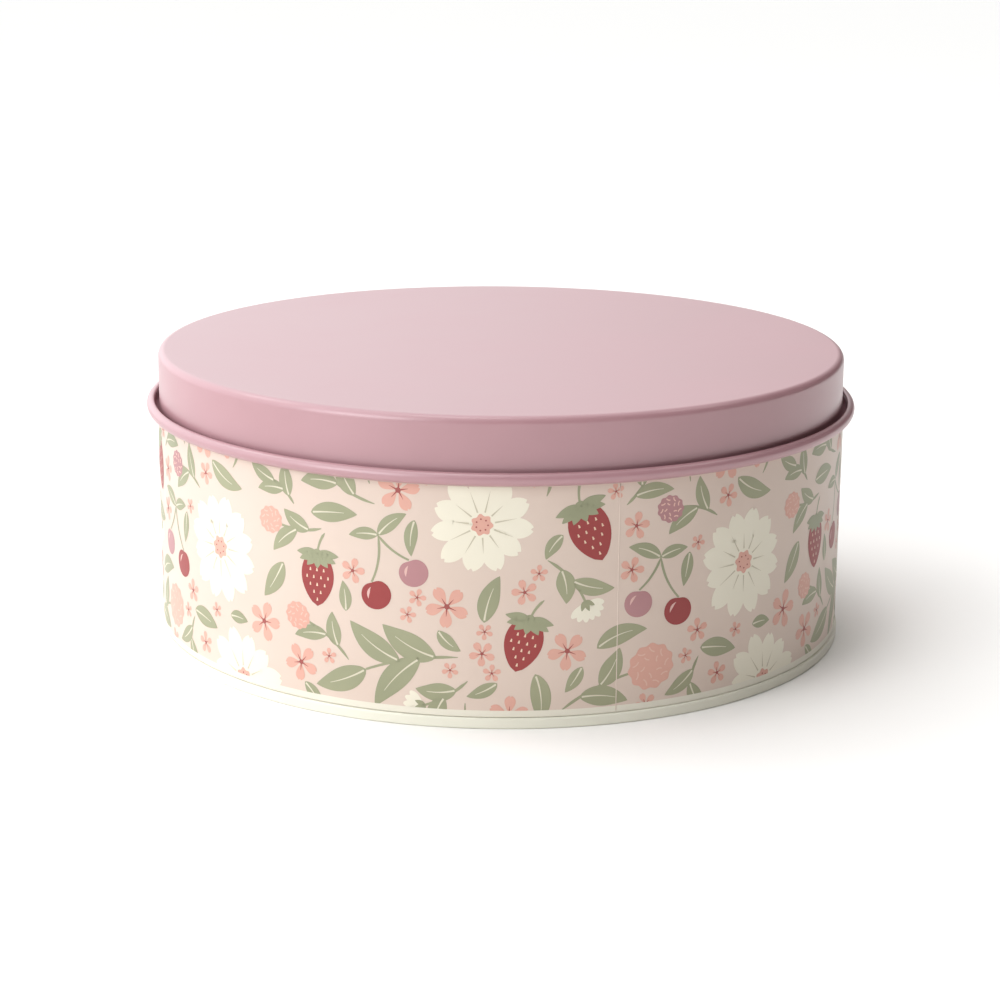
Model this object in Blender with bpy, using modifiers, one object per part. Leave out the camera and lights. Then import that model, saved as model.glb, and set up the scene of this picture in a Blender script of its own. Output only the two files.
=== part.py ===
"""Round slip-lid cake tin in three pieces of tinplate: lid, printed body wall, seamed bottom end.

Metres, +Z up. The origin is on the axis, at the level of the flat foot that the tin stands on.
-Y is the front. Every turned piece starts from the middle line of its sheet, drawn as corners with
bend radii, which a Screw modifier turns and a Solidify modifier thickens by half the sheet each way.
"""

import math

import bmesh
import bpy
from mathutils import Vector

# Driving sizes
SHEET = 0.00025              # thickness of the tinplate
CLEARANCE = 0.0003           # gap kept between two pieces that touch on the real tin
TOTAL_HEIGHT = 0.0838        # foot to lid top
LID_RADIUS = 0.100           # outside of the lid's skirt
LID_DEPTH = 0.0158           # lid top down to the rim's widest line
LID_CORNER = 0.0020          # outside radius between lid top and skirt
LID_FIT = 0.00035            # radial play between the lid's skirt and the neck
RIM_REACH = 0.0036           # how far the curled rim stands out from the skirt
RIM_CREST = 0.0016           # how far the rim's crest stands above its widest line
RIM_LIP = 0.0006             # outside radius of the bend that turns the rim's edge down
WALL_STEP = 0.00045          # how far the printed wall stands out from the skirt
SHOULDER_SLOPE = math.radians(53.0)   # slope of the shoulder under the rim
NECK_HEADROOM = 0.0012       # gap between the neck's curl and the underside of the lid top
NECK_CURL = 0.0010           # outside radius of the inward curl round the mouth
SEAM_STEP = 0.00055          # how far the double seam stands out from the wall
SEAM_HEIGHT = 0.0030         # height of the double seam
SEAM_BEND = 0.0004           # bend radius, on the middle line, of the folds of the double seam
FOOT_TAPER = 0.0007          # height over which the wall necks in above the seam
PANEL_LEVEL = 0.0036         # top of the bottom end's outer panel
PANEL_BORDER = 0.0187        # width of that outer panel
PANEL_STEP = 0.0010          # rise of the inner panel above the outer one
SIDE_SEAM_WIDTH = 0.0050     # width of the folded strip of the side seam
SIDE_SEAM_FOLDS = 0.00060    # how far the folds stand inside the wall
SIDE_SEAM_LINE = 0.0004      # width of the joint line outside
SIDE_SEAM_LINE_DEPTH = 0.0001
SIDE_SEAM_AZIMUTH = math.radians(18.0)   # right of the front
STEPS = 48                   # flats round a full turn

# Sizes that follow, most of them on the middle line of the sheet
LAYER = SHEET + CLEARANCE
RIM_LEVEL = TOTAL_HEIGHT - LID_DEPTH
RIM_BEND = RIM_REACH / 2
WALL_RADIUS = LID_RADIUS + WALL_STEP
MID_SKIRT = LID_RADIUS - SHEET / 2
MID_RIM_TURN = MID_SKIRT + RIM_BEND
MID_NECK = MID_SKIRT - SHEET - LID_FIT
MID_WALL = WALL_RADIUS - SHEET / 2
MID_SEAM_WALL = MID_WALL + SEAM_STEP
MID_BODY_HOOK = MID_SEAM_WALL - LAYER
MID_COVER_HOOK = MID_BODY_HOOK - LAYER
MID_FOOT_WALL = MID_COVER_HOOK - LAYER
MID_CHUCK_WALL = MID_FOOT_WALL - LAYER
NECK_TOP = TOTAL_HEIGHT - SHEET - NECK_HEADROOM
TAPER_FOOT = SEAM_HEIGHT + CLEARANCE
TAPER_TOP = TAPER_FOOT + FOOT_TAPER


def clear_scene():
    for item in list(bpy.data.objects):
        bpy.data.objects.remove(item, do_unlink=True)


def make_collection(name):
    made = bpy.data.collections.new(name)
    bpy.context.scene.collection.children.link(made)
    return made


def make_material(name, colour, roughness, metallic):
    made = bpy.data.materials.new(name)
    made.use_nodes = True
    shader = made.node_tree.nodes["Principled BSDF"]
    shader.inputs["Base Color"].default_value = (*colour, 1.0)
    shader.inputs["Roughness"].default_value = roughness
    shader.inputs["Metallic"].default_value = metallic
    return made


def arc(centre_r, centre_z, radius, start, end, pieces):
    """Points from the angle start to the angle end, in degrees from the outward direction."""
    angles = [math.radians(start + (end - start) * i / pieces) for i in range(pieces + 1)]
    return [(centre_r + radius * math.cos(a), centre_z + radius * math.sin(a)) for a in angles]


def bend(before, corner, after, radius, pieces=2):
    """The points that round a corner of a middle line with the given radius."""
    corner = Vector(corner)
    way_in = (Vector(before) - corner).normalized()
    way_out = (Vector(after) - corner).normalized()
    half = way_in.angle(way_out) / 2
    start = corner + way_in * radius / math.tan(half)
    centre = corner + (way_in + way_out).normalized() * radius / math.sin(half)
    spoke = start - centre
    turn = (math.pi - 2 * half) * (1 if spoke.cross(way_in) < 0 else -1)
    points = []
    for i in range(pieces + 1):
        a = turn * i / pieces
        points.append((centre.x + spoke.x * math.cos(a) - spoke.y * math.sin(a),
                       centre.y + spoke.x * math.sin(a) + spoke.y * math.cos(a)))
    return points


def turned_sheet(name, middle_line, collection):
    """A sheet of even thickness, turned from its middle line round the Z axis."""
    mesh = bpy.data.meshes.new(name)
    edges = [(i, i + 1) for i in range(len(middle_line) - 1)]
    mesh.from_pydata([(r, 0.0, z) for r, z in middle_line], edges, [])
    piece = bpy.data.objects.new(name, mesh)
    collection.objects.link(piece)
    # The side seam lies in the middle of a flat, so that its strip sits true on the wall.
    piece.rotation_euler.z = SIDE_SEAM_AZIMUTH - math.pi / 2 - math.pi / STEPS
    screw = piece.modifiers.new("Turn", "SCREW")
    screw.axis = "Z"
    screw.steps = STEPS
    screw.render_steps = STEPS
    screw.use_merge_vertices = True
    screw.merge_threshold = 0.00002
    screw.use_smooth_shade = True
    solidify = piece.modifiers.new("Sheet", "SOLIDIFY")
    solidify.thickness = SHEET
    solidify.offset = 0.0
    solidify.use_even_offset = True
    return piece


def shoulder_height(radius):
    """Height of the shoulder's middle line: a slope that clears the round underside of the rim."""
    away = RIM_BEND + LAYER
    touch_r = MID_RIM_TURN - away * math.sin(SHOULDER_SLOPE)
    touch_z = RIM_LEVEL - away * math.cos(SHOULDER_SLOPE)
    return touch_z - (radius - touch_r) * math.tan(SHOULDER_SLOPE)


def lid_line():
    """Top centre, corner, skirt, then the rim: down, out and up round a half turn, over, and down a lip."""
    top = TOTAL_HEIGHT - SHEET / 2
    corner = bend((0.0, top), (MID_SKIRT, top), (MID_SKIRT, RIM_LEVEL), LID_CORNER - SHEET / 2, 4)
    half_turn = arc(MID_RIM_TURN, RIM_LEVEL, RIM_BEND, 180, 360, 8)
    crest_bend = RIM_CREST - SHEET / 2
    over = arc(MID_RIM_TURN + RIM_BEND - crest_bend, RIM_LEVEL, crest_bend, 0, 90, 4)
    lip_bend = RIM_LIP - SHEET / 2
    lip = arc(over[-1][0], over[-1][1] - lip_bend, lip_bend, 90, 180, 2)
    return [(0.0, top)] + corner + half_turn + over[1:] + lip[1:]


def wall_line():
    """Mouth curl, neck, shoulder, wall, foot taper, then the body hook: down, out and up."""
    curl_bend = NECK_CURL - SHEET / 2
    curl = arc(MID_NECK - curl_bend, NECK_TOP - NECK_CURL, curl_bend, 250, 0, 7)
    shoulder = [(MID_NECK, shoulder_height(MID_NECK)), (MID_WALL, shoulder_height(MID_WALL))]
    taper = [(MID_WALL, TAPER_TOP), (MID_FOOT_WALL, TAPER_FOOT)]
    fold_in = (MID_FOOT_WALL, LAYER + SHEET / 2)
    fold_out = (MID_BODY_HOOK, LAYER + SHEET / 2)
    hook_end = (MID_BODY_HOOK, SEAM_HEIGHT - LAYER)
    fold = bend(taper[1], fold_in, fold_out, SEAM_BEND) + bend(fold_in, fold_out, hook_end, SEAM_BEND)
    return curl + shoulder + taper + fold + [hook_end]


def bottom_line():
    """Inner panel, step, outer panel, chuck wall, foot, seam wall, then the cover hook down inside."""
    panel = PANEL_LEVEL - SHEET / 2
    step_foot = MID_CHUCK_WALL - PANEL_BORDER
    foot = SHEET / 2
    seam_top = SEAM_HEIGHT - SHEET / 2
    line = [
        (0.0, panel + PANEL_STEP),
        (step_foot - PANEL_STEP, panel + PANEL_STEP),
        (step_foot, panel),
    ]
    corners = [
        (step_foot, panel),
        (MID_CHUCK_WALL, panel),
        (MID_CHUCK_WALL, foot),
        (MID_SEAM_WALL, foot),
        (MID_SEAM_WALL, seam_top),
        (MID_COVER_HOOK, seam_top),
        (MID_COVER_HOOK, 2 * LAYER),
    ]
    for before, corner, after in zip(corners, corners[1:], corners[2:]):
        line += bend(before, corner, after, SEAM_BEND)
    return line + corners[-1:]


def seam_block(name, width, inner_radius, outer_radius, foot, top, collection):
    """A box along the side seam, square to the wall there, between two distances from the axis."""
    mesh = bpy.data.meshes.new(name)
    box = bmesh.new()
    bmesh.ops.create_cube(box, size=1.0)
    bmesh.ops.scale(box, vec=(width, outer_radius - inner_radius, top - foot), verts=box.verts)
    box.to_mesh(mesh)
    box.free()
    block = bpy.data.objects.new(name, mesh)
    distance = (inner_radius + outer_radius) / 2
    block.location = (distance * math.sin(SIDE_SEAM_AZIMUTH), -distance * math.cos(SIDE_SEAM_AZIMUTH),
                      (foot + top) / 2)
    block.rotation_euler.z = SIDE_SEAM_AZIMUTH
    block.hide_render = True
    block.display_type = "WIRE"
    collection.objects.link(block)
    return block


def join_or_cut(piece, tool, operation):
    step = piece.modifiers.new(tool.name, "BOOLEAN")
    step.operation = operation
    step.solver = "EXACT"
    step.object = tool


def make_lid(collection):
    lid = turned_sheet("lid", lid_line(), collection)
    lid.data.materials.append(make_material("pink_enamel", (0.58, 0.36, 0.38), 0.45, 0.0))
    return lid


def make_body_wall(collection, helpers):
    body_wall = turned_sheet("body_wall", wall_line(), collection)
    body_wall.data.materials.append(make_material("blush_print", (0.74, 0.58, 0.50), 0.45, 0.0))
    # A flat's middle is nearer to the axis than its corners.
    flat = math.cos(math.pi / STEPS)
    inside = (WALL_RADIUS - SHEET) * flat
    outside = WALL_RADIUS * flat
    foot = TAPER_TOP + CLEARANCE
    top = shoulder_height(MID_WALL) - CLEARANCE
    folds = seam_block("side_seam_folds", SIDE_SEAM_WIDTH, inside - SIDE_SEAM_FOLDS,
                       inside + SHEET / 2, foot, top, helpers)
    join_or_cut(body_wall, folds, "UNION")
    line = seam_block("side_seam_line", SIDE_SEAM_LINE, outside - SIDE_SEAM_LINE_DEPTH,
                      outside + SHEET, foot, top, helpers)
    join_or_cut(body_wall, line, "DIFFERENCE")
    return body_wall


def make_bottom_end(collection):
    bottom_end = turned_sheet("bottom_end", bottom_line(), collection)
    bottom_end.data.materials.append(make_material("cream_enamel", (0.76, 0.73, 0.62), 0.4, 0.0))
    return bottom_end


clear_scene()
tin = make_collection("lithographed_tin")
helpers = make_collection("helpers")
helpers.hide_render = True
make_lid(tin)
make_body_wall(tin, helpers)
make_bottom_end(tin)
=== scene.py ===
import math
import random

import bmesh
import bpy
from mathutils import Matrix, Vector


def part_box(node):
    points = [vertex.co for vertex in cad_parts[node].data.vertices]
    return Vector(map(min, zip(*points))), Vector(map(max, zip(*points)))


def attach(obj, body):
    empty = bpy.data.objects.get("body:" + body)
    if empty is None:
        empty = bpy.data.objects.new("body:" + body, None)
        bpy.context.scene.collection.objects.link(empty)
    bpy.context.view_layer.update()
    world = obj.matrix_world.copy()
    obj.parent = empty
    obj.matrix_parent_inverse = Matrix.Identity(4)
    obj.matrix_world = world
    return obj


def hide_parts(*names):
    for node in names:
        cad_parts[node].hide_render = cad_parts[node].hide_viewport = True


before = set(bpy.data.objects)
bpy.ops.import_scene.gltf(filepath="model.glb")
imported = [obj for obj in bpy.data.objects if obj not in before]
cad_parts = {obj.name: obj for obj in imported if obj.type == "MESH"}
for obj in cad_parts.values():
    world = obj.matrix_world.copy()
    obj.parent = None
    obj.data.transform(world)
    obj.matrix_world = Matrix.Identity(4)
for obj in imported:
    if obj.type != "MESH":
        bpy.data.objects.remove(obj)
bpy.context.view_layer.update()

# ---------------------------------------------------------------------------------------------
# Body wall. One sheet of tinplate, printed flat, rolled into a cylinder and closed by a lock seam.
# Its top is necked in to pass up inside the lid and curled over at the mouth. Its foot is necked in
# and flanged out into the body hook of the double seam.

tin_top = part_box("lid")[1].z
SHEET = 0.00025
FOLD_GAP = 0.0003
LAYER = SHEET + FOLD_GAP
NECK_GAP = 0.00035
SKIRT_RADIUS = 0.100
RIM_BEND = 0.0018
LID_DEPTH = 0.0158
RIM_LEVEL = tin_top - LID_DEPTH
WALL_STEP, SEAM_STEP = 0.00045, 0.00055
WALL_RADIUS = SKIRT_RADIUS + WALL_STEP
SEAM_RADIUS = WALL_RADIUS + SEAM_STEP
SEAM_HEIGHT = 0.0030
SEAM_BEND = 0.0004
MID_SKIRT = SKIRT_RADIUS - SHEET / 2
MID_WALL = WALL_RADIUS - SHEET / 2
MID_NECK = MID_SKIRT - SHEET - NECK_GAP
MID_BODY_HOOK = SEAM_RADIUS - SHEET / 2 - LAYER
MID_COVER_HOOK = MID_BODY_HOOK - LAYER
MID_FOOT_WALL = MID_COVER_HOOK - LAYER
MID_CHUCK_WALL = MID_FOOT_WALL - LAYER
SHOULDER_SLOPE = math.radians(53.0)
SIDE_SEAM = math.radians(18.0)
COLUMNS = 288
ON_AXIS = 1e-7


def arc(centre_r, centre_z, radius, start, end, pieces):
    """Points round a bend, from one angle to another in degrees from the outward direction."""
    angles = [math.radians(start + (end - start) * i / pieces) for i in range(pieces + 1)]
    return [(centre_r + radius * math.cos(a), centre_z + radius * math.sin(a)) for a in angles]


def bend(before, corner, after, radius, pieces=5):
    """The points that round a corner of a sheet's middle line."""
    corner = Vector(corner)
    way_in = (Vector(before) - corner).normalized()
    way_out = (Vector(after) - corner).normalized()
    half = way_in.angle(way_out) / 2
    start = corner + way_in * radius / math.tan(half)
    centre = corner + (way_in + way_out).normalized() * radius / math.sin(half)
    spoke = start - centre
    turn = (math.pi - 2 * half) * (1 if spoke.cross(way_in) < 0 else -1)
    points = []
    for i in range(pieces + 1):
        a = turn * i / pieces
        points.append((centre.x + spoke.x * math.cos(a) - spoke.y * math.sin(a),
                       centre.y + spoke.x * math.sin(a) + spoke.y * math.cos(a)))
    return points


def with_steps(line, longest=0.004, by_bend=0.0002):
    """The same line with a point close to each bend and more along its straight runs."""
    stepped = [Vector(line[0])]
    for a, b in zip(line, line[1:]):
        a, b = Vector(a), Vector(b)
        run = (b - a).length
        if run > 4 * by_bend:
            count = max(1, math.ceil((run - 2 * by_bend) / longest))
            for i in range(count + 1):
                stepped.append(a.lerp(b, (by_bend + (run - 2 * by_bend) * i / count) / run))
        stepped.append(b)
    return stepped


def turned_sheet(name, middle_line, materials, finish_at, columns=COLUMNS, ripple=None):
    """A sheet turned from its middle line. finish_at(face, r, z) gives each strip's material number."""
    line = with_steps(middle_line)
    sides = []
    for i, point in enumerate(line):
        before = (point - line[i - 1]).normalized() if i else None
        after = (line[i + 1] - point).normalized() if i + 1 < len(line) else None
        along = ((before or after) + (after or before)).normalized()
        widen = 1.0
        if before and after:
            widen = 1 / max(0.5, along.dot(after))
        sides.append(Vector((along.y, -along.x)) * SHEET / 2 * widen)
    one = [(p + s, "left") for p, s in zip(line, sides)]
    other = [(p - s, "right") for p, s in zip(line, sides)]
    closed = line[0].x < ON_AXIS
    ring = one[::-1] + other
    mesh = bmesh.new()
    rows = []
    for point, side in ring:
        r, z = max(point.x, 0.0), point.y
        if closed and r < ON_AXIS:
            lift = ripple(0.0, 0.0) if ripple else 0.0
            rows.append([mesh.verts.new((0.0, 0.0, z + lift))])
            continue
        row = []
        for k in range(columns):
            a = 2 * math.pi * k / columns + SIDE_SEAM - math.pi / 2
            lift = ripple(r, a) if ripple else 0.0
            row.append(mesh.verts.new((r * math.cos(a), r * math.sin(a), z + lift)))
        rows.append(row)
    pairs = list(zip(range(len(rows)), range(1, len(rows))))
    if not closed:
        pairs.append((len(rows) - 1, 0))
    for i, j in pairs:
        if len(rows[i]) == 1 and len(rows[j]) == 1:
            continue
        face_side = ring[i][1] if ring[i][1] == ring[j][1] else "edge"
        middle = (ring[i][0] + ring[j][0]) / 2
        number = finish_at(face_side, middle.x, middle.y)
        for k in range(columns):
            n = (k + 1) % columns
            corners = [rows[i][k % len(rows[i])], rows[i][n % len(rows[i])],
                       rows[j][n % len(rows[j])], rows[j][k % len(rows[j])]]
            corners = list(dict.fromkeys(corners))
            face = mesh.faces.new(corners)
            face.smooth = True
            face.material_index = number
    bmesh.ops.recalc_face_normals(mesh, faces=mesh.faces)
    data = bpy.data.meshes.new(name)
    mesh.to_mesh(data)
    mesh.free()
    for material in materials:
        data.materials.append(material)
    piece = bpy.data.objects.new(name, data)
    bpy.context.scene.collection.objects.link(piece)
    return piece


def enamel(name, colour, darker, roughness, metallic=0.0, grain=900.0, bump=0.02, wear=None,
           gloss_index=1.50):
    """Roller-coated enamel or ink: faint cloudiness, orange peel, uneven gloss, and worn edges if asked."""
    made = bpy.data.materials.new(name)
    made.use_nodes = True
    nodes, links = made.node_tree.nodes, made.node_tree.links
    shader = nodes["Principled BSDF"]
    shader.inputs["Metallic"].default_value = metallic
    shader.inputs["IOR"].default_value = gloss_index
    place = nodes.new("ShaderNodeTexCoord")
    cloud = nodes.new("ShaderNodeTexNoise")
    cloud.inputs["Scale"].default_value = 28.0
    cloud.inputs["Detail"].default_value = 4.0
    links.new(place.outputs["Object"], cloud.inputs["Vector"])
    tone = nodes.new("ShaderNodeValToRGB")
    tone.color_ramp.elements[0].position = 0.30
    tone.color_ramp.elements[0].color = (*darker, 1.0)
    tone.color_ramp.elements[1].position = 0.62
    tone.color_ramp.elements[1].color = (*colour, 1.0)
    links.new(cloud.outputs["Fac"], tone.inputs["Fac"])
    peel = nodes.new("ShaderNodeTexNoise")
    peel.inputs["Scale"].default_value = grain
    peel.inputs["Detail"].default_value = 3.0
    links.new(place.outputs["Object"], peel.inputs["Vector"])
    gloss = nodes.new("ShaderNodeMapRange")
    gloss.inputs["To Min"].default_value = roughness - 0.05
    gloss.inputs["To Max"].default_value = roughness + 0.06
    links.new(cloud.outputs["Fac"], gloss.inputs["Value"])
    links.new(gloss.outputs["Result"], shader.inputs["Roughness"])
    skin = nodes.new("ShaderNodeBump")
    skin.inputs["Strength"].default_value = bump
    skin.inputs["Distance"].default_value = 0.0004
    links.new(peel.outputs["Fac"], skin.inputs["Height"])
    links.new(skin.outputs["Normal"], shader.inputs["Normal"])
    if wear is None:
        links.new(tone.outputs["Color"], shader.inputs["Base Color"])
        return made
    edge = nodes.new("ShaderNodeNewGeometry")
    chip = nodes.new("ShaderNodeTexNoise")
    chip.inputs["Scale"].default_value = 260.0
    chip.inputs["Detail"].default_value = 5.0
    links.new(place.outputs["Object"], chip.inputs["Vector"])
    sharp = nodes.new("ShaderNodeMapRange")
    sharp.inputs["From Min"].default_value = 0.56
    sharp.inputs["From Max"].default_value = 0.72
    links.new(edge.outputs["Pointiness"], sharp.inputs["Value"])
    spots = nodes.new("ShaderNodeMapRange")
    spots.inputs["From Min"].default_value = 0.56
    spots.inputs["From Max"].default_value = 0.70
    links.new(chip.outputs["Fac"], spots.inputs["Value"])
    rubbed = nodes.new("ShaderNodeMath")
    rubbed.operation = "MULTIPLY"
    links.new(sharp.outputs["Result"], rubbed.inputs[0])
    links.new(spots.outputs["Result"], rubbed.inputs[1])
    worn = nodes.new("ShaderNodeMix")
    worn.data_type = "RGBA"
    links.new(rubbed.outputs["Value"], worn.inputs["Factor"])
    links.new(tone.outputs["Color"], worn.inputs["A"])
    worn.inputs["B"].default_value = (*wear, 1.0)
    links.new(worn.outputs["Result"], shader.inputs["Base Color"])
    return made


blush_ground = enamel("blush_ground", (0.668, 0.540, 0.462), (0.650, 0.520, 0.442), 0.38)
cream_margin = enamel("cream_margin", (0.765, 0.725, 0.620), (0.742, 0.700, 0.592), 0.40)
tinplate = enamel("lacquered_tinplate", (0.66, 0.63, 0.56), (0.60, 0.57, 0.50), 0.30,
                  metallic=1.0, grain=1600.0, bump=0.03)


def shoulder_height(radius):
    """The height at which the wall's sloping shoulder, laid against the lid's rim, has this radius."""
    away = RIM_BEND + LAYER
    touch_r = MID_SKIRT + RIM_BEND - away * math.sin(SHOULDER_SLOPE)
    touch_z = RIM_LEVEL - away * math.cos(SHOULDER_SLOPE)
    return touch_z - (radius - touch_r) * math.tan(SHOULDER_SLOPE)


MOUTH_GAP = 0.0012
MOUTH_CURL = 0.0010
NECK_TOP = tin_top - SHEET - MOUTH_GAP
SEAM_REST = 0.00002
TAPER_FOOT = SEAM_HEIGHT + SHEET / 2 + SEAM_REST
TAPER_RISE = 0.00006
TAPER_TOP = TAPER_FOOT + TAPER_RISE
PRINT_TOP = shoulder_height(MID_WALL)
MARGIN_TOP = 0.0050
FINISH_SLACK = 0.0001
WALL_BEND, FOOT_BEND, TUCK_BEND = 0.0003, 0.00013, 0.00018

curl_bend = MOUTH_CURL - SHEET / 2
mouth_curl = arc(MID_NECK - MOUTH_CURL + SHEET / 2, NECK_TOP - MOUTH_CURL, curl_bend, 250, 0, 14)
neck_foot = (MID_NECK, shoulder_height(MID_NECK))
wall_top = (MID_WALL, PRINT_TOP)
taper_top = (MID_WALL, TAPER_TOP)
taper_foot = (MID_FOOT_WALL, TAPER_FOOT)
fold_in = (MID_FOOT_WALL, LAYER + SHEET / 2)
fold_out = (MID_BODY_HOOK, LAYER + SHEET / 2)
hook_end = (MID_BODY_HOOK, SEAM_HEIGHT - LAYER)
wall_line = list(mouth_curl)
wall_line += bend(mouth_curl[-1], neck_foot, wall_top, WALL_BEND, 4)
wall_line += bend(neck_foot, wall_top, taper_top, WALL_BEND, 4)
margin_top = (MID_WALL, MARGIN_TOP)
wall_line += [margin_top]
wall_line += bend(margin_top, taper_top, taper_foot, FOOT_BEND, 4)
wall_line += bend(taper_top, taper_foot, fold_in, TUCK_BEND, 4)
wall_line += bend(taper_foot, fold_in, fold_out, SEAM_BEND)
wall_line += bend(fold_in, fold_out, hook_end, SEAM_BEND)
wall_line += [hook_end]


def wall_finish(face, r, z):
    """Print on the straight outside, cream below it, and bare tinplate everywhere else."""
    if face != "right" or z < TAPER_FOOT - FINISH_SLACK or z > PRINT_TOP + FINISH_SLACK:
        return 2
    return 0 if z > MARGIN_TOP else 1


wall = turned_sheet("printed_wall", wall_line, [blush_ground, cream_margin, tinplate], wall_finish)
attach(wall, "tin")
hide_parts("body_wall")

# ---------------------------------------------------------------------------------------------
# The print. Flat inks laid on the blush ground before the sheet is rolled: cream petals first, then
# sage green, coral, red, and the fine lines last. It is a plain scattered floral in four repeats.

MM = 0.001
REPEATS = 4
REPEAT = 2 * math.pi * WALL_RADIUS / MM / REPEATS
PRINT_FOOT = MARGIN_TOP / MM
HEAD_MARGIN = 0.35
PRINT_HEAD = PRINT_TOP / MM - HEAD_MARGIN
CELL = 1.0
COLUMNS_OF_CELLS = int(REPEAT / CELL)


def along_curve(start, end, bow, count=18):
    """Points on a bowed line from start to end."""
    start, end = Vector(start), Vector(end)
    across = Vector((start.y - end.y, end.x - start.x)) * bow
    middle = (start + end) / 2 + across
    line = []
    for i in range(count + 1):
        t = i / count
        line.append(start.lerp(middle, t).lerp(middle.lerp(end, t), t))
    return line


def ribbon(line, half_width):
    """The outline of a line whose half width is half_width(t), t running from 0 to 1."""
    left, right = [], []
    for i, point in enumerate(line):
        ahead = line[min(i + 1, len(line) - 1)] - line[max(i - 1, 0)]
        ahead.normalize()
        side = Vector((-ahead.y, ahead.x)) * half_width(i / (len(line) - 1))
        left.append(point + side)
        right.append(point - side)
    return left + right[::-1]


def stem(start, end, bow=0.12, width=0.7):
    """A stalk that starts thin and thickens within its first fifth."""
    taper = lambda t: width / 2 * min(1.0, 0.25 + 5 * t) * (1.1 - 0.3 * t)
    return [("green", ribbon(along_curve(start, end, bow), taper))]


def leaf(base, tip, width, bow=0.12):
    """A pointed leaf, widest before its middle, with its midrib left pale."""
    middle = along_curve(base, tip, bow, 22)
    blade = ribbon(middle, lambda t: width / 2 * max(0.0, math.sin(math.pi * t ** 0.82)) ** 0.85 + 0.03)
    rib = ribbon(middle[1:17], lambda t: 0.26 * (1.0 - 0.75 * t))
    return [("green", blade), ("rib", rib)]


def disc(centre, radius, lobes=0, depth=0.0, squash=1.0, count=36):
    """A round spot, its edge in lobes if asked."""
    centre = Vector(centre)
    ring = []
    for i in range(count):
        a = 2 * math.pi * i / count
        r = radius * (1 + depth * math.cos(lobes * a)) if lobes else radius
        ring.append(centre + Vector((r * math.cos(a), r * squash * math.sin(a))))
    return ring


def petal(centre, angle, start, end, width, dimple=0.0, fullness=1.7):
    """A petal that widens outward to a round end, dented in the middle if asked."""
    centre = Vector(centre)
    out = Vector((math.cos(angle), math.sin(angle)))
    side = Vector((-out.y, out.x))
    left, right = [], []
    for i in range(13):
        t = 1 - (1 - i / 12) ** 1.6
        half = width / 2 * math.sin(math.pi * min(0.985, 0.10 + 0.885 * t) ** fullness) ** 0.62
        dist = start + (end - start) * t
        left.append(centre + out * dist + side * half)
        right.append(centre + out * dist - side * half)
    dent = [centre + out * (end - dimple)] if dimple else []
    return left + dent + right[::-1]


def daisy(dice, reach):
    """Eleven to thirteen cream petals with a fine crease between each two, round a coral eye."""
    count = dice.choice((11, 12, 13))
    shapes = []
    turn = dice.uniform(0, 1)
    for i in range(count):
        a = 2 * math.pi * (i + turn) / count
        end = reach * dice.uniform(0.86, 1.0)
        wide = reach * dice.uniform(0.38, 0.44)
        shapes.append(("cream", petal((0, 0), a, reach * 0.10, end, wide, reach * 0.05)))
    for i in range(count):
        a = 2 * math.pi * (i + turn + 0.5) / count
        out = Vector((math.cos(a), math.sin(a)))
        crease = [out * reach * 0.24, out * reach * dice.uniform(0.50, 0.66)]
        crease = ribbon(crease, lambda t: 0.20 * (1.1 - t))
        shapes.append(("petal_line", crease))
    shapes.append(("coral", disc((0, 0), reach * 0.19, 7, 0.12)))
    for i in range(7):
        a = 2 * math.pi * i / 7
        spot = Vector((math.cos(a), math.sin(a))) * reach * 0.11
        shapes.append(("dark", disc(spot, 0.24, count=8)))
    return shapes


def blossom(dice, reach):
    """Five coral petals with a dark line up each."""
    centre = Vector((0, 0))
    shapes = []
    turn = dice.uniform(0, 6.3)
    for i in range(5):
        a = turn + 2 * math.pi * i / 5
        shapes.append(("coral", petal(centre, a, reach * 0.14, reach, reach * 0.56, reach * 0.08)))
        out = Vector((math.cos(a), math.sin(a)))
        line = [centre + out * reach * 0.08, centre + out * reach * 0.46]
        shapes.append(("dark", ribbon(line, lambda t: reach * 0.032 * (1.2 - t))))
    shapes.append(("dark", disc(centre, reach * 0.13, count=14)))
    return shapes


def strawberry(dice, tall):
    """Hangs point down from the origin."""
    half = tall * 0.37
    side = []
    for i in range(15):
        t = i / 14
        wide = half * math.sin(math.pi * (0.13 + 0.87 * t)) ** 0.62 * (1 - 0.16 * t)
        side.append((wide, -tall * (0.02 + 0.96 * t)))
    outline = [Vector(p) for p in side] + [Vector((-x, y)) for x, y in side[::-1]]
    shapes = [("red", outline)]
    for row, count in ((0.26, 3), (0.40, 4), (0.54, 3), (0.68, 2), (0.82, 1)):
        for i in range(count):
            x = (i - (count - 1) / 2) * tall * 0.145 + dice.uniform(-0.15, 0.15)
            spot = Vector((x, -tall * row))
            shapes.append(("seed", ribbon([spot, spot + Vector((0, -0.85))], lambda t: 0.14 + 0.14 * t)))
    for i in range(7):
        a = math.radians(-180 + 180 * i / 6)
        tip = Vector((math.cos(a) * half * 1.20, math.sin(a) * tall * 0.27 + 0.1))
        shapes.append(("calyx", leaf((0, 0.4), tip, tall * 0.17, 0.0)[0][1]))
    shapes.append(("calyx", disc((0, 0.1), tall * 0.10, count=16)))
    return shapes + stem((tall * 0.16, tall * 0.42), (0, 0), -0.15)


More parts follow.
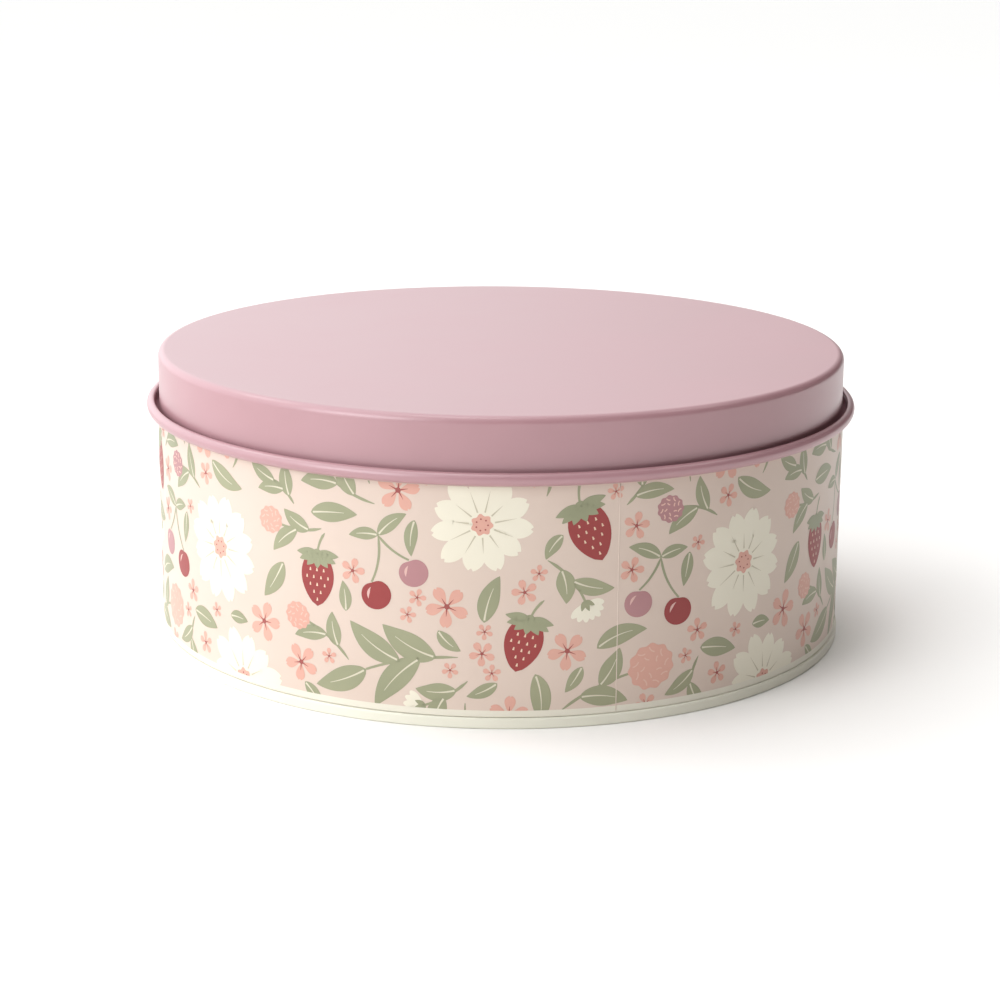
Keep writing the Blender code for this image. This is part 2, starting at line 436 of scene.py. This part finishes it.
def cherry(centre, radius, ink):
    """A round fruit, dented where its stem goes in, with one curved shine."""
    centre = Vector(centre)
    ring = []
    for i in range(36):
        a = math.pi / 2 + 2 * math.pi * i / 36
        dimple = 0.14 * math.exp(-((min(i, 36 - i) / 2.6) ** 2))
        ring.append(centre + Vector((math.cos(a), math.sin(a) * 0.95)) * radius * (1 - dimple))
    shine_foot = centre + Vector((-0.58, -0.10)) * radius
    shine_tip = centre + Vector((-0.18, 0.56)) * radius
    shine = along_curve(shine_foot, shine_tip, 0.22, 10)
    return [(ink, ring), ("shine", ribbon(shine, lambda t: 0.34 * math.sin(math.pi * t) + 0.02))]


def cherries(dice):
    """Two on forked stems that hang from a pair of leaves."""
    lean = dice.choice((-1, 1))
    first, second = (-6.2 * lean, -15.0), (5.8 * lean, -12.2)
    shapes = stem((0, 0), (first[0], first[1] + 3.6), 0.16 * lean)
    shapes += stem((0, 0), (second[0], second[1] + 3.6), -0.14 * lean)
    shapes += leaf((0, 0), (9.5 * lean, 3.2), 3.9, 0.14 * lean)
    shapes += leaf((0, 0), (-8.0 * lean, 2.2), 3.4, -0.12 * lean)
    return shapes + cherry(first, 4.2, "red") + cherry(second, 4.0, "mauve")


def pompom(centre, radius, ink="coral"):
    """A round, many-petalled flower: a lobed disc with two rings of short bowed strokes."""
    centre = Vector(centre)
    shapes = [(ink, disc(centre, radius, 11, 0.05, 0.93, 66))]
    for ring, count in ((0.30, 5), (0.62, 9)):
        for i in range(count):
            a = 2 * math.pi * (i + 0.5 * ring) / count
            start = centre + Vector((math.cos(a), math.sin(a))) * radius * ring
            end = centre + Vector((math.cos(a + 0.35), math.sin(a + 0.35))) * radius * (ring + 0.20)
            shapes.append(("blush_line", ribbon(along_curve(start, end, 0.3, 5), lambda t: 0.17)))
    return shapes


def tuft(dice, centre, radius, out):
    """A half-open cream flower seen from the side, held by three green sepals."""
    shapes = []
    for i in range(7):
        a = out + math.radians(-66 + 22 * i)
        shapes.append(("cream", petal(centre, a, 0.0, radius * dice.uniform(0.88, 1.0), radius * 0.36)))
    for i in range(3):
        a = out + math.radians(-48 + 48 * i)
        tip = Vector(centre) + Vector((math.cos(a), math.sin(a))) * radius * 0.46
        back = Vector(centre) - Vector((math.cos(out), math.sin(out))) * 0.6
        shapes.append(("green", leaf(back, tip, 1.3, 0.0)[0][1]))
    return shapes


def spray(dice, length, head, leaf_long, leaf_wide, pairs):
    """A bowed stem growing along +x, with leaves on both sides and a flower or bud at its end."""
    bow = dice.uniform(0.10, 0.20) * dice.choice((-1, 1))
    line = along_curve((0, 0), (length, 0), bow)
    shapes = stem((0, 0), (length, 0), bow, 0.8)
    for i in range(pairs):
        t = 0.18 + 0.52 * (i + 0.5) / pairs
        point = line[int(t * 18)]
        ahead = line[int(t * 18) + 1] - point
        way = math.atan2(ahead.y, ahead.x)
        side = 1 if i % 2 else -1
        open_by = math.radians(dice.uniform(34, 52)) * side
        long = leaf_long * dice.uniform(0.84, 1.08)
        tip = point + Vector((math.cos(way + open_by), math.sin(way + open_by))) * long
        shapes += leaf(point, tip, leaf_wide * dice.uniform(0.88, 1.08), -0.14 * side)
    last = line[-1] - line[-2]
    out = math.atan2(last.y, last.x)
    end = line[-1]
    if head == "pompom":
        shapes += pompom(end + last.normalized() * 5.4, 6.6)
    elif head == "bud":
        shapes += pompom(end + last.normalized() * 3.0, 3.9, dice.choice(("coral", "mauve")))
    elif head == "tuft":
        shapes += tuft(dice, end, 5.6, out)
    elif head == "leaf":
        shapes += leaf(end, end + last.normalized() * leaf_long * 0.9, leaf_wide * 0.9, 0.1)
    return shapes


def placed(shapes, u, v, turn):
    """The same shapes turned, then moved u along the wall and v up it."""
    spin = Matrix.Rotation(turn, 2)
    return [(ink, [spin @ Vector(p) + Vector((u, v)) for p in outline]) for ink, outline in shapes]


def cells_of(shapes):
    """The millimetre cells that a motif covers, with the repeat closed on itself."""
    cells = set()
    for ink, outline in shapes:
        if ink not in ("cream", "green", "coral", "red", "mauve", "calyx"):
            continue
        low = math.floor(min(p.y for p in outline) / CELL)
        high = math.ceil(max(p.y for p in outline) / CELL)
        for row in range(low, high + 1):
            level = (row + 0.5) * CELL
            cuts = []
            for a, b in zip(outline, outline[1:] + outline[:1]):
                if (a.y > level) != (b.y > level):
                    cuts.append(a.x + (b.x - a.x) * (level - a.y) / (b.y - a.y))
            cuts.sort()
            for a, b in zip(cuts[::2], cuts[1::2]):
                for column in range(math.floor(a / CELL), math.ceil(b / CELL) + 1):
                    cells.add((int(column % COLUMNS_OF_CELLS), row))
        for p in outline:
            cells.add((int(math.floor(p.x / CELL) % COLUMNS_OF_CELLS), math.floor(p.y / CELL)))
    return cells


def draw_motifs(dice):
    """Throws motifs at one repeat, largest first, and keeps each that falls clear of the rest."""
    taken = set()
    drawn = []
    turns = (0.0, 2 * math.pi)
    hang = (-0.6, 0.6)
    order = [
        (3, 600, turns, 1, lambda: daisy(dice, dice.uniform(13.5, 15.8))),
        (3, 2500, turns, 0, lambda: spray(dice, dice.uniform(18, 22), "pompom", 13.0, 5.6, 2)),
        (3, 1500, turns, 0, lambda: spray(dice, dice.uniform(22, 27), "leaf", 18.0, 7.4, 3)),
        (3, 900, hang, 0, lambda: strawberry(dice, dice.uniform(14.5, 16.5))),
        (2, 2500, hang, 0, lambda: cherries(dice)),
        (5, 2500, turns, 0, lambda: spray(dice, dice.uniform(12, 17), "bud", 11.0, 4.8, 2)),
        (4, 2500, turns, 0, lambda: spray(dice, dice.uniform(11, 16), "tuft", 11.0, 4.8, 2)),
        (7, 1500, turns, 0, lambda: blossom(dice, dice.uniform(5.0, 6.0))),
        (6, 2500, turns, 0, lambda: spray(dice, dice.uniform(8, 12), "leaf", 10.0, 4.6, 2)),
        (8, 1500, turns, 0, lambda: leaf((-7, 0), (dice.uniform(5, 9), 0), 5.4, dice.uniform(-0.2, 0.2))),
        (12, 2000, turns, 0, lambda: blossom(dice, dice.uniform(3.2, 4.2))),
        (16, 2000, turns, 0, lambda: leaf((-4, 0), (dice.uniform(3, 6), 0), 3.6, dice.uniform(-0.2, 0.2))),
        (14, 2000, turns, 0, lambda: blossom(dice, dice.uniform(2.2, 2.7))),
    ]
    for wanted, tries, (low, high), gap, make in order:
        kept = 0
        for attempt in range(tries):
            if kept == wanted:
                break
            u, v = dice.uniform(0, REPEAT), dice.uniform(PRINT_FOOT - 3, PRINT_HEAD + 3)
            motif = placed(make(), u, v, dice.uniform(low, high))
            cells = cells_of(motif)
            if cells & taken:
                continue
            kept += 1
            drawn += motif
            for column, row in cells:
                for across in range(-gap, gap + 1):
                    for up in range(-gap, gap + 1):
                        taken.add((int((column + across) % COLUMNS_OF_CELLS), row + up))
    return drawn


STRIPS = 104
OVERHANG = 24


def lay_ink(name, outlines, lift, material):
    """Flat outlines in millimetres, trimmed to the printed height, cut in strips and laid round the wall."""
    flat = bmesh.new()
    for outline in outlines:
        flat.faces.new([flat.verts.new((p.x, p.y, 0.0)) for p in outline])
    bmesh.ops.triangulate(flat, faces=flat.faces)
    for height, outward in ((PRINT_FOOT, -1), (PRINT_HEAD, 1)):
        every = flat.verts[:] + flat.edges[:] + flat.faces[:]
        bmesh.ops.bisect_plane(flat, geom=every, plane_co=(0, height, 0), plane_no=(0, outward, 0),
                               clear_outer=True)
    for k in range(-OVERHANG, STRIPS + OVERHANG + 1):
        every = flat.verts[:] + flat.edges[:] + flat.faces[:]
        bmesh.ops.bisect_plane(flat, geom=every, plane_co=(k * REPEAT / STRIPS, 0, 0), plane_no=(1, 0, 0))
    bmesh.ops.triangulate(flat, faces=flat.faces)
    bmesh.ops.dissolve_degenerate(flat, dist=0.002, edges=flat.edges)
    flat.normal_update()
    for face in flat.faces:
        if face.normal.z < 0:
            face.normal_flip()
    flat.verts.index_update()
    points = [v.co.copy() for v in flat.verts]
    faces = [[v.index for v in f.verts] for f in flat.faces]
    flat.free()
    radius = WALL_RADIUS + lift
    corners, sides, normals = [], [], []
    for repeat in range(REPEATS):
        first = len(corners)
        for p in points:
            a = (p.x + repeat * REPEAT) * MM / WALL_RADIUS
            corners.append((radius * math.sin(a), -radius * math.cos(a), p.y * MM))
            normals.append((math.sin(a), -math.cos(a), 0.0))
        sides += [[first + i for i in face] for face in faces]
    mesh = bpy.data.meshes.new(name)
    mesh.from_pydata(corners, [], sides)
    mesh.shade_smooth()
    mesh.normals_split_custom_set_from_vertices(normals)
    mesh.materials.append(material)
    piece = bpy.data.objects.new(name, mesh)
    bpy.context.scene.collection.objects.link(piece)
    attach(piece, "tin")


motifs = draw_motifs(random.Random(11))
inks = [
    ("cream", 0.024, (0.800, 0.750, 0.620), (0.775, 0.720, 0.585)),
    ("green", 0.030, (0.330, 0.330, 0.205), (0.270, 0.278, 0.168)),
    ("mauve", 0.036, (0.450, 0.225, 0.235), (0.390, 0.180, 0.190)),
    ("coral", 0.036, (0.690, 0.375, 0.300), (0.650, 0.335, 0.265)),
    ("red", 0.042, (0.315, 0.042, 0.040), (0.265, 0.030, 0.030)),
    ("calyx", 0.048, (0.310, 0.315, 0.195), (0.255, 0.265, 0.160)),
    ("rib", 0.048, (0.660, 0.610, 0.480), (0.620, 0.570, 0.440)),
    ("petal_line", 0.048, (0.560, 0.500, 0.375), (0.520, 0.460, 0.340)),
    ("blush_line", 0.048, (0.740, 0.490, 0.400), (0.710, 0.450, 0.365)),
    ("shine", 0.054, (0.690, 0.440, 0.400), (0.650, 0.400, 0.360)),
    ("dark", 0.054, (0.360, 0.085, 0.075), (0.310, 0.065, 0.058)),
    ("seed", 0.060, (0.760, 0.560, 0.420), (0.720, 0.520, 0.385)),
]
for ink, lift, colour, darker in inks:
    outlines = [outline for name, outline in motifs if name == ink]
    lay_ink("print_" + ink, outlines, lift * MM, enamel("ink_" + ink, colour, darker, 0.42))

# ---------------------------------------------------------------------------------------------
# Side seam. The wall's two edges hooked together and pressed flat: four layers in a strip inside, and
# outside only the narrow pale line where the printed sheet's edge turns under.


def upright_strip(name, width, inner, outer, foot, top, material, steps=12, storeys=24):
    """A strip up the wall, curved with it, its long edges rounded over."""
    section = []
    ease = min(width, outer - inner) * 0.3
    for i in range(steps + 1):
        across = -width / 2 + width * i / steps
        edge = max(0.0, abs(across) - (width / 2 - ease)) / ease
        section.append((across, edge * ease))
    mesh = bmesh.new()
    rows = []
    heights = [foot + (top - foot) * i / storeys for i in range(storeys + 1)]
    for z in heights:
        row = []
        for across, drop in section:
            a = SIDE_SEAM + across / WALL_RADIUS
            for r in (outer - drop, inner + drop):
                row.append(mesh.verts.new((r * math.sin(a), -r * math.cos(a), z)))
        rows.append(row)
    for low, high in zip(rows, rows[1:]):
        for i in range(0, len(section) * 2 - 2, 2):
            mesh.faces.new((low[i], low[i + 2], high[i + 2], high[i]))
            mesh.faces.new((low[i + 1], high[i + 1], high[i + 3], low[i + 3]))
        mesh.faces.new((low[0], high[0], high[1], low[1]))
        mesh.faces.new((low[-2], low[-1], high[-1], high[-2]))
    for row in (rows[0], rows[-1]):
        for i in range(0, len(section) * 2 - 2, 2):
            mesh.faces.new((row[i], row[i + 1], row[i + 3], row[i + 2]))
    bmesh.ops.recalc_face_normals(mesh, faces=mesh.faces)
    data = bpy.data.meshes.new(name)
    mesh.to_mesh(data)
    mesh.free()
    data.materials.append(material)
    data.shade_smooth()
    piece = bpy.data.objects.new(name, data)
    bpy.context.scene.collection.objects.link(piece)
    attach(piece, "tin")


SEAM_CLEAR = 0.0004
seam_foot, seam_top = TAPER_TOP + SEAM_CLEAR, PRINT_TOP - SEAM_CLEAR
seam_pale = enamel("turned_edge", (0.715, 0.592, 0.515), (0.660, 0.535, 0.457), 0.38,
                   wear=(0.60, 0.58, 0.54))
FOLDS_WIDE, FOLDS_THICK = 0.0050, 0.0006
EDGE_WIDE, EDGE_SUNK, EDGE_PROUD = 0.00022, 0.00005, 0.00008
inner_face = WALL_RADIUS - SHEET
upright_strip("side_seam_folds", FOLDS_WIDE, inner_face - FOLDS_THICK, inner_face,
              seam_foot, seam_top, tinplate)
upright_strip("side_seam_edge", EDGE_WIDE, WALL_RADIUS - EDGE_SUNK, WALL_RADIUS + EDGE_PROUD,
              seam_foot, seam_top, seam_pale)

# ---------------------------------------------------------------------------------------------
# Bottom end. One stamped disc, cream enamel outside, with a raised panel stepped for stiffness. Its
# edge is folded twice round the wall's hook, and the fold is the double seam the tin stands on.

MID_SEAM_WALL = SEAM_RADIUS - SHEET / 2
PANEL = 0.0036 - SHEET / 2
PANEL_STEP = 0.0010
PANEL_BEND = 0.0006
STEP_IN = 0.0187
step_foot = MID_CHUCK_WALL - STEP_IN
step_corners = [(0.0, PANEL + PANEL_STEP), (step_foot - PANEL_STEP, PANEL + PANEL_STEP),
                (step_foot, PANEL), (MID_CHUCK_WALL, PANEL)]
fold_corners = [(step_foot, PANEL), (MID_CHUCK_WALL, PANEL), (MID_CHUCK_WALL, SHEET / 2),
                (MID_SEAM_WALL, SHEET / 2), (MID_SEAM_WALL, SEAM_HEIGHT - SHEET / 2),
                (MID_COVER_HOOK, SEAM_HEIGHT - SHEET / 2), (MID_COVER_HOOK, 2 * LAYER)]
bottom_line = [step_corners[0]]
for before, corner, after in zip(step_corners, step_corners[1:], step_corners[2:]):
    bottom_line += bend(before, corner, after, PANEL_BEND)
for before, corner, after in zip(fold_corners, fold_corners[1:], fold_corners[2:]):
    bottom_line += bend(before, corner, after, SEAM_BEND)
bottom_line += fold_corners[-1:]

cream_enamel = enamel("cream_enamel", (0.790, 0.770, 0.660), (0.765, 0.742, 0.630), 0.36,
                      wear=(0.56, 0.54, 0.50))
bottom = turned_sheet("seamed_bottom", bottom_line, [cream_enamel, tinplate],
                      lambda face, r, z: 0 if face != "right" else 1)
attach(bottom, "tin")
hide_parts("bottom_end")

# ---------------------------------------------------------------------------------------------
# Lid. One stamped pan of tinplate, dusty pink enamel on both faces. Its foot is curled outward into
# an open round rim; the curl's cut edge stops short of the skirt, leaving a fine dark groove.

LID_TOP = tin_top - SHEET / 2
LID_CORNER, RIM_CREST, RIM_LIP = 0.0020, 0.0016, 0.0006
LID_COLUMNS = 320
lid_line = [(0.0, LID_TOP)]
lid_line += bend((0.0, LID_TOP), (MID_SKIRT, LID_TOP), (MID_SKIRT, RIM_LEVEL), LID_CORNER - SHEET / 2, 10)
lid_line += arc(MID_SKIRT + RIM_BEND, RIM_LEVEL, RIM_BEND, 180, 360, 24)
crest_bend = RIM_CREST - SHEET / 2
over = arc(MID_SKIRT + 2 * RIM_BEND - crest_bend, RIM_LEVEL, crest_bend, 0, 90, 12)
lip_bend = RIM_LIP - SHEET / 2
lip = arc(over[-1][0], over[-1][1] - lip_bend, lip_bend, 90, 180, 6)
lid_line += over[1:] + lip[1:]


FLAT_RADIUS, RIPPLE_DEPTH = 0.094, 0.00005


def stamped_ripple(r, a):
    """The faint unevenness of a large flat pressing, dying out before the corner."""
    out = r / FLAT_RADIUS
    wave = math.sin(3 * a + 0.7) * out ** 2 + 0.6 * math.cos(2 * a - 0.4) * out
    return -RIPPLE_DEPTH * max(0.0, 1 - out ** 4) * (1.6 + wave)


pink = enamel("pink_enamel", (0.432, 0.236, 0.261), (0.414, 0.223, 0.246), 0.31,
              grain=1300.0, bump=0.03, wear=(0.62, 0.50, 0.50), gloss_index=1.70)
lid = turned_sheet("enamelled_lid", lid_line, [pink], lambda face, r, z: 0, LID_COLUMNS, stamped_ripple)
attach(lid, "lid")
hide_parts("lid")

# ---------------------------------------------------------------------------------------------
# The studio: a white floor, a broad soft light from the front left, three small ones high up, pale
# surroundings that are brightest to the upper left, and a long-lens camera a little above the lid.

FLOOR_REACH, FLOOR_DROP = 9, 0.00002
scene = bpy.context.scene
floor_mesh = bpy.data.meshes.new("studio_floor")
floor_corners = [(x * FLOOR_REACH, y * FLOOR_REACH, 0) for x, y in ((-1, -1), (1, -1), (1, 1), (-1, 1))]
floor_mesh.from_pydata(floor_corners, [], [(0, 1, 2, 3)])
floor = bpy.data.objects.new("studio_floor", floor_mesh)
floor.location.z = -FLOOR_DROP
scene.collection.objects.link(floor)
paper = bpy.data.materials.new("white_paper")
paper.use_nodes = True
paper.node_tree.nodes["Principled BSDF"].inputs["Base Color"].default_value = (0.955, 0.940, 0.922, 1)
paper.node_tree.nodes["Principled BSDF"].inputs["Roughness"].default_value = 0.9
paper.node_tree.nodes["Principled BSDF"].inputs["Specular IOR Level"].default_value = 0.1
floor_mesh.materials.append(paper)

world = bpy.data.worlds.new("surroundings")
world.use_nodes = True
sky_nodes, sky_links = world.node_tree.nodes, world.node_tree.links
toward = sky_nodes.new("ShaderNodeTexCoord")
fall = sky_nodes.new("ShaderNodeVectorMath")
fall.operation = "DOT_PRODUCT"
fall.inputs[1].default_value = (-0.72, 0.28, 0.45)
sky_links.new(toward.outputs["Generated"], fall.inputs[0])
level = sky_nodes.new("ShaderNodeMapRange")
level.interpolation_type = "SMOOTHSTEP"
level.inputs["From Min"].default_value = -0.08
level.inputs["From Max"].default_value = 0.72
level.inputs["To Min"].default_value = 0.04
level.inputs["To Max"].default_value = 2.02
sky_links.new(fall.outputs["Value"], level.inputs["Value"])
sky_links.new(level.outputs["Result"], sky_nodes["Background"].inputs["Strength"])
tint = sky_nodes.new("ShaderNodeValToRGB")
tint.color_ramp.elements[0].position = 0.15
tint.color_ramp.elements[0].color = (1.0, 0.93, 0.86, 1.0)
tint.color_ramp.elements[1].position = 0.85
tint.color_ramp.elements[1].color = (0.965, 0.985, 1.0, 1.0)
across = sky_nodes.new("ShaderNodeMapRange")
across.inputs["From Min"].default_value = -0.9
across.inputs["From Max"].default_value = 0.9
sky_links.new(fall.outputs["Value"], across.inputs["Value"])
sky_links.new(across.outputs["Result"], tint.inputs["Fac"])
sky_links.new(tint.outputs["Color"], sky_nodes["Background"].inputs["Color"])
scene.world = world


LIGHTS_AIM = (0, 0, 0.04)


def soft_light(name, place, width, height, power, colour):
    """A rectangular lamp turned to face the tin."""
    lamp = bpy.data.lights.new(name, "AREA")
    lamp.shape = "RECTANGLE"
    lamp.size = width
    lamp.size_y = height
    lamp.energy = power
    lamp.color = colour
    holder = bpy.data.objects.new(name, lamp)
    holder.location = place
    holder.rotation_euler = (Vector(LIGHTS_AIM) - Vector(place)).to_track_quat("-Z", "Y").to_euler()
    scene.collection.objects.link(holder)


COOL, WARM = (0.95, 0.98, 1.0), (1.0, 0.96, 0.92)
SOFT_WHITE, WARM_WHITE = (1.0, 0.985, 0.97), (1.0, 0.975, 0.94)
soft_light("window_left", (-1.05, -1.05, 0.66), 0.9, 0.9, 10.2, COOL)
soft_light("high_back", (-0.85, 0.30, 1.00), 0.40, 0.35, 1.4, SOFT_WHITE)
soft_light("overhead", (-0.20, -0.12, 1.45), 0.45, 0.40, 1.7, WARM_WHITE)
soft_light("high_right", (0.70, 0.10, 1.00), 0.30, 0.30, 0.9, WARM)

PITCH, ROLL = math.radians(14.64), math.radians(0.45)
forward = Vector((0, math.cos(PITCH), -math.sin(PITCH)))
level_up = Vector((0, math.sin(PITCH), math.cos(PITCH)))
right = math.cos(ROLL) * Vector((1, 0, 0)) + math.sin(ROLL) * level_up
up = -math.sin(ROLL) * Vector((1, 0, 0)) + math.cos(ROLL) * level_up
lens = bpy.data.cameras.new("camera")
lens.sensor_width = 36.0
lens.lens = 88.0
CAMERA_BACK, CAMERA_HIGH = 0.707, 0.2206
camera = bpy.data.objects.new("camera", lens)
turn = Matrix((right, up, -forward)).transposed().to_4x4()
camera.matrix_world = Matrix.Translation((0, -CAMERA_BACK, CAMERA_HIGH)) @ turn
scene.collection.objects.link(camera)
scene.camera = camera
scene.view_settings.view_transform = "Standard"
